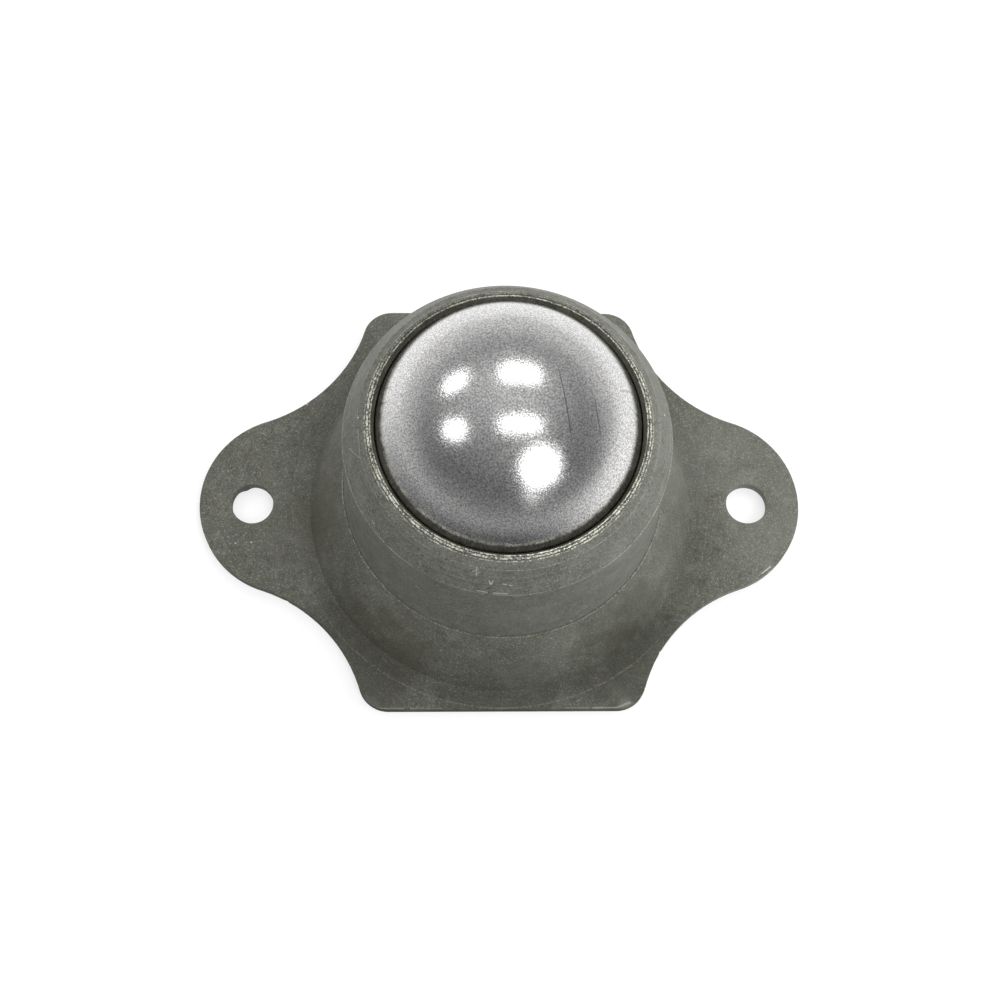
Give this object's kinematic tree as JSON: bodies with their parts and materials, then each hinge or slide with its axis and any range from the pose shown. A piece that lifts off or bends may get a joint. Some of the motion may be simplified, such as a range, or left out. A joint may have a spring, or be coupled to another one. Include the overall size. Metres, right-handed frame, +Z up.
{
  "type": "ball transfer unit",
  "caption": "Flange-mounted ball transfer unit: a large steel ball on a bed of small balls in a pressed steel housing, rolling goods any way across a table.",
  "frame": {"origin": "centre of the flange's underside, on the ball's axis", "axes": "+Z up through the load ball, +X along the line of the two mounting holes"},
  "size_m": [0.0922, 0.0644, 0.0489],
  "materials": {
    "phosphated_base": "dark grey-green phosphate, matt, with fine mottling and worn edges",
    "phosphated_cover": "dark grey-green phosphate, matt, with bright scuffed lip edges",
    "keeper_steel": "dark phosphate with a bright worn rim",
    "ball_steel": "satin ground steel with soft highlights",
    "race_steel": "hardened steel, dull grey",
    "support_steel": "polished bearing steel"
  },
  "bodies": {
    "housing": {"base_flange": "phosphated_base", "cover": "phosphated_cover", "keeper_ring": "keeper_steel", "race_cup": "race_steel"},
    "ball_bed": {"support_ball_centre": "support_steel", "support_balls_row_1": "support_steel", "support_balls_row_2": "support_steel", "support_balls_row_3": "support_steel", "support_balls_row_4": "support_steel", "support_balls_row_5": "support_steel", "support_balls_row_6": "support_steel"},
    "rolling_ball": {"load_ball": "ball_steel"}
  },
  "joints": [
    {"name": "bed_heading", "type": "hinge", "parent": "housing", "child": "ball_bed", "pos_m": [0, 0, 0.02985], "axis": [0, 0, 1], "continuous": true},
    {"name": "ball_roll", "type": "hinge", "parent": "ball_bed", "child": "rolling_ball", "pos_m": [0, 0, 0.02985], "axis": [1, 0, 0], "continuous": true}
  ]
}
